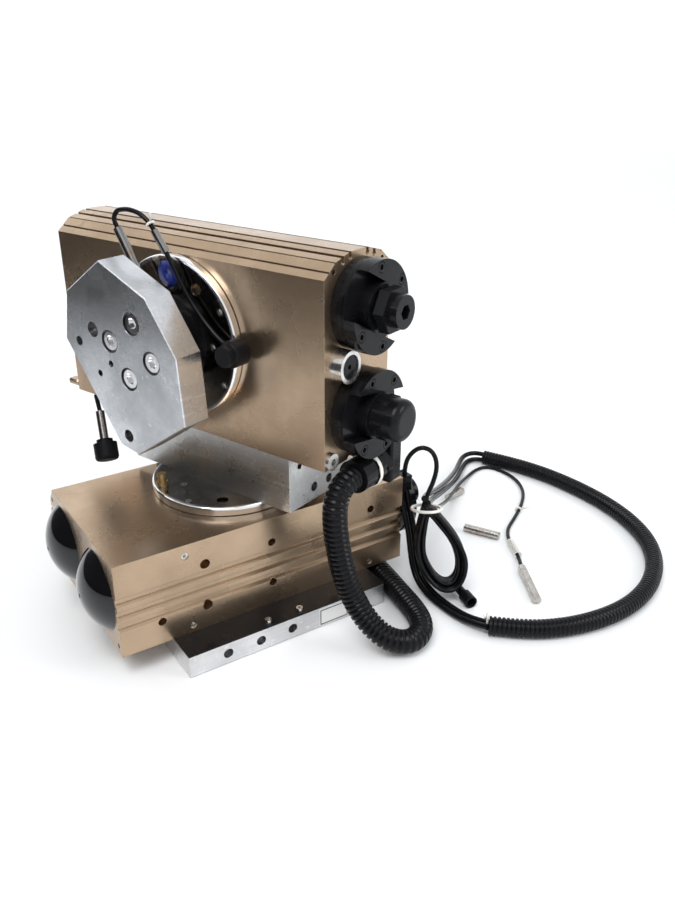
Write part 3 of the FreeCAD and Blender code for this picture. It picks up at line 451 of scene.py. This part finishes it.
def stations(line, step):
    """Points spaced step apart along a line, and its length."""
    spaced = [line[0].copy()]
    total = 0.0
    left = step
    for a, b in zip(line, line[1:]):
        run = (b - a).length
        at = left
        while at <= run:
            spaced.append(a.lerp(b, at / run))
            at += step
        left = at - run
        total += run
    return spaced, total


def length_of(line):
    return sum((b - a).length for a, b in zip(line, line[1:]))


def lead(name, points, dia):
    obj = route_curve(name, points, dia)
    obj.data.materials.append(CABLE)
    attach(obj, "base")
    length_of(centreline(points))
    return obj


def corrugated(name, points, dia, pitch, depth, body=None):
    """A ribbed conduit along a route: broad crests with narrow grooves between them."""
    line, total = stations(centreline(points), pitch / 6)
    crest, groove = dia / 2, dia / 2 - depth
    radii = [(crest, crest, crest, crest, groove, groove)[k % 6] for k in range(len(line))]
    bm = bmesh.new()
    sweep(bm, line, radii, 28)
    obj = piece(name, bm, CONDUIT, body)
    return obj, line, total


hose, hose_line, hose_length = corrugated("conduit_hose", HOSE, HOSE_DIA, 0.0036, 0.0013)
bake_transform(hose)
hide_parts("cord_conduit_hose")

floor_points = [(x, y, FLOOR_DIA / 2) for x, y in FLOOR_CONDUIT]
floor_conduit, floor_line, floor_length = corrugated("conduit_floor", floor_points, FLOOR_DIA, 0.003, 0.001, "base")
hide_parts("cord_conduit_floor")

for number, route in ((1, LEAD_A_1), (2, LEAD_A_2)):
    cable = lead("lead_a_%d" % number, route, LEAD_DIA)
    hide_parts("cord_lead_a_%d" % number)
for number, route in ((1, LEAD_B_1), (2, LEAD_B_2)):
    cable = lead("lead_b_%d" % number, route, LEAD_DIA)
    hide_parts("cord_lead_b_%d" % number)

loop = lead("loop_lead", LOOP_LEAD, LOOP_DIA)
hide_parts("cord_loop_lead")

# The hank: pear-shaped turns, five wide ones laid towards the front and five inner ones back.
HANK_DIA = 0.0034
HANK_RIGHT = Vector((0.835, -0.55, 0))
HANK_LEAN = math.radians(14)
HANK_DOWN = Vector((-0.55, -0.835, 0)) * math.sin(HANK_LEAN) - Z * math.cos(HANK_LEAN)
HANK_BACKWARD = HANK_RIGHT.cross(HANK_DOWN)
TURN_POINTS = 14
LAYERS = 5
LAYER_STEP = 3.48
BACK_LAYER = -3.3


def hank_point(w, d, t):
    return tuple(TIE + (HANK_RIGHT * w + HANK_DOWN * d + HANK_BACKWARD * t) * MM)


def hank_turns():
    """Corner points of the wound length, from the tie round the turns to the outer end."""
    points = []
    count = 2 * LAYERS * TURN_POINTS
    for k in range(2, count - 6):
        turn = k / TURN_POINTS
        angle = 2 * math.pi * turn
        inner = turn >= LAYERS
        layer = turn if not inner else 2 * LAYERS - 1 - turn
        t = BACK_LAYER - LAYER_STEP * min(max(layer - 0.5, 0.0), LAYERS - 1)
        q = (1 - math.cos(angle)) / 2
        half = min(8 + 17 * q, 17.0 + 0.6 * math.sin(3 * turn))
        centre = 2 + 20 * q - 5 * q * q
        shrink = 0.0 if not inner else 3.9
        uneven = 1.0 * math.sin(5.1 * turn + 1.0)
        w = centre - (half - shrink) * math.sin(angle)
        d = 35 - (30.6 - shrink) * math.cos(angle) + (uneven if 0.2 < q < 0.8 else 0)
        points.append(hank_point(w, d, t))
    return points


hank_route = HANK_LEAD + hank_turns()
hank_route += [(0.1262, -0.1006, 0.0082), (0.1294, -0.1018, 0.006), (0.1292, -0.1054, 0.0051),
               (0.127, -0.1085, 0.005)]
hank = lead("hank_lead", hank_route, HANK_DIA)
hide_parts("cord_hank_lead", "cord_hank")

# ---------------------------------------------------------------- trim

TIE_LOOP = [hank_point(1 + 10.5 * math.cos(t), 6, -10.3 + 10.5 * math.sin(t))
            for t in (2 * math.pi * k / 36 for k in range(37))]


def band(name, path, radius, mat, body):
    """A round strap along a path of points."""
    bm = bmesh.new()
    sweep(bm, [Vector(p) for p in path], [radius] * len(path), 12)
    return piece(name, bm, mat, body)


def ring_about(centre, axis, radius):
    """Points of a circle about an axis."""
    side = axis.orthogonal().normalized()
    up = axis.cross(side)
    return [centre + (side * math.cos(t) + up * math.sin(t)) * radius
            for t in (2 * math.pi * k / 24 for k in range(25))]


def cable_tie(name, centre, axis, radius, body, tail=None):
    """A nylon strap round a lead, with its cut tail."""
    axis = Vector(axis).normalized()
    band(name, ring_about(centre, axis, radius), 0.0008, NYLON, body)
    if tail:
        start = centre + Vector(tail).normalized() * radius
        band(name + "_tail", [start, start + Vector(tail) * 0.6, start + Vector(tail)], 0.0007, NYLON, body)


band("tie_hank", TIE_LOOP, 0.0011, NYLON, "base")
cable_tie("tie_disc_lead", upper(-7.6, 72.0, 11.9), ALONG * 0.6 - Z * 0.8, 0.0023, "tool_rotor",
          tuple(ALONG * 0.004 + Z * 0.006 + FRONT * 0.003))
cable_tie("tie_loop", mm(250, -44, 2.4), (0.85, 0.53, 0), 0.0024, "base", (0.004, -0.006, 0.004))
cable_tie("tie_floor_a", mm(117, -150, 6.6), (0.72, -0.69, 0), 0.0045, "base", (-0.004, -0.002, 0.005))

WRAP_START, WRAP_END = mm(206.5, -79.5, 3.3), mm(196.5, -99, 3.7)
WRAP_TURNS = 9
wrap_side = (WRAP_END - WRAP_START).cross(Z).normalized()
wrap = []
for k in range(WRAP_TURNS * 16 + 1):
    t = 2 * math.pi * k / 16
    along = WRAP_START.lerp(WRAP_END, k / (WRAP_TURNS * 16))
    wrap.append(along + (wrap_side * math.cos(t) + Z * math.sin(t)) * 0.0027)
band("spiral_wrap", wrap, 0.00055, NYLON, "base")

BASE_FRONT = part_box("base_plate")[0].y
bm = bmesh.new()
plate(bm, Vector((0.0205, BASE_FRONT - 0.0004, 0.0017)), Vector((0.024, 0, 0)), Z * 0.0133, Vector((0, 0.0005, 0)))
piece("base_label", bm, LABEL, "base", smooth=False)
bm = bmesh.new()
for x, z, w, h in ((0.0215, 0.0025, 0.022, 0.0005), (0.0215, 0.0137, 0.022, 0.0005),
                   (0.0215, 0.0025, 0.0005, 0.0117), (0.043, 0.0025, 0.0005, 0.0117)):
    plate(bm, Vector((x, BASE_FRONT - 0.0006, z)), Vector((w, 0, 0)), Z * h, Vector((0, 0.0003, 0)))
piece("base_label_frame", bm, RUBBER, "base", smooth=False)

bm = bmesh.new()
plate(bm, upper(-129, -62.5, -7), ALONG * 0.0115, Z * 0.004, FRONT * 0.007, 0.0006)
piece("end_tab", bm, UPPER_BRONZE, "swivel_body")

STICKER_BLUE = shader("sticker_blue", (0.02, 0.035, 0.22), 0.1, 0.25)
bump(STICKER_BLUE, noise(STICKER_BLUE, place(STICKER_BLUE), 400.0), 0.00003, 0.2)
bm = bmesh.new()
lathe(bm, upper(-2, 41, 6.05), FRONT, [(0.0001, 0), (0.0085, 0), (0.0085, 0.0003), (0.0001, 0.0003)])
piece("flange_sticker", bm, STICKER_BLUE, "tool_rotor")

# ---------------------------------------------------------------- camera

AZIMUTH, ELEVATION, ROLL = math.radians(-33.42), math.radians(25.21), math.radians(0.14)
back = Vector((math.sin(AZIMUTH) * math.cos(ELEVATION), -math.cos(AZIMUTH) * math.cos(ELEVATION),
               math.sin(ELEVATION)))
right = (-back).cross(Z).normalized()
up = right.cross(-back)
turn = Matrix((right * math.cos(ROLL) + up * math.sin(ROLL),
               up * math.cos(ROLL) - right * math.sin(ROLL), back)).transposed()
camera_data = bpy.data.cameras.new("camera")
camera_data.lens = 34.21
camera_data.sensor_width = 36.0
camera_data.sensor_fit = "AUTO"
camera = bpy.data.objects.new("camera", camera_data)
camera.matrix_world = Matrix.Translation((-0.23367, -0.49461, 0.36140)) @ turn.to_4x4()
bpy.context.scene.collection.objects.link(camera)
bpy.context.scene.camera = camera

# ---------------------------------------------------------------- floor, backdrop and light


def stage_plane(name, corner, along, up, colour, strength=0.0):
    """A flat card of the studio, from one corner along two edges."""
    bm = bmesh.new()
    corner, along, up = Vector(corner), Vector(along), Vector(up)
    bm.faces.new([bm.verts.new(p) for p in (corner, corner + along, corner + along + up, corner + up)])
    mesh = bpy.data.meshes.new(name)
    bm.to_mesh(mesh)
    bm.free()
    card = bpy.data.objects.new(name, mesh)
    bpy.context.scene.collection.objects.link(card)
    mat = shader(name, colour, 0.0, 0.6)
    if strength:
        mat.node_tree.nodes["Principled BSDF"].inputs["Emission Color"].default_value = (1, 1, 1, 1)
        mat.node_tree.nodes["Principled BSDF"].inputs["Emission Strength"].default_value = strength
    mesh.materials.append(mat)
    return card


stage_plane("floor", (-3, -3, 0), (8, 0, 0), (0, 9, 0), (0.90, 0.91, 0.92))
stage_plane("backdrop", (-3, 2.1, 0), (8, -0.4, 0), (0, 0, 4), (0.92, 0.93, 0.94), 0.35)
flag = stage_plane("flag_left", (-0.58, -0.5, 0.0), (-0.10, 2.4, 0), (0, 0, 0.55), (0.012, 0.009, 0.007))
flag.visible_camera = False          # it only darkens what the metal reflects


def softbox(name, at, aim, size, power, colour=(1, 1, 1)):
    lamp = bpy.data.lights.new(name, "AREA")
    lamp.shape = "RECTANGLE"
    lamp.size, lamp.size_y = size
    lamp.energy = power
    lamp.color = colour
    obj = bpy.data.objects.new(name, lamp)
    obj.location = at
    obj.rotation_euler = (Vector(aim) - Vector(at)).to_track_quat("-Z", "Y").to_euler()
    bpy.context.scene.collection.objects.link(obj)


softbox("key", (-0.7, -0.5, 1.6), (0, 0, 0.1), (0.9, 0.9), 16)
softbox("fill", (1.2, -1.3, 0.9), (0, 0, 0.1), (0.8, 0.8), 9)
softbox("window", (-1.7, 0.1, 0.7), (0, 0, 0.15), (0.5, 1.1), 10)

world = bpy.data.worlds.new("room")
bpy.context.scene.world = world
world.use_nodes = True
wall = world.node_tree.nodes["Background"]
wall.inputs["Strength"].default_value = 0.95
ramp = world.node_tree.nodes.new("ShaderNodeValToRGB")
ramp.color_ramp.elements[0].position = 0.42
ramp.color_ramp.elements[0].color = (0.20, 0.17, 0.15, 1)
ramp.color_ramp.elements[1].position = 0.56
ramp.color_ramp.elements[1].color = (0.93, 0.95, 0.97, 1)
middle = ramp.color_ramp.elements.new(0.5)
middle.color = (0.82, 0.84, 0.86, 1)
coords = world.node_tree.nodes.new("ShaderNodeTexCoord")
split = world.node_tree.nodes.new("ShaderNodeSeparateXYZ")
half = world.node_tree.nodes.new("ShaderNodeMapRange")
half.inputs[1].default_value = -1.0
world.node_tree.links.new(coords.outputs["Generated"], split.inputs[0])
world.node_tree.links.new(split.outputs["Z"], half.inputs[0])
world.node_tree.links.new(half.outputs[0], ramp.inputs[0])
world.node_tree.links.new(ramp.outputs[0], wall.inputs["Color"])
bpy.context.scene.view_settings.view_transform = "Standard"
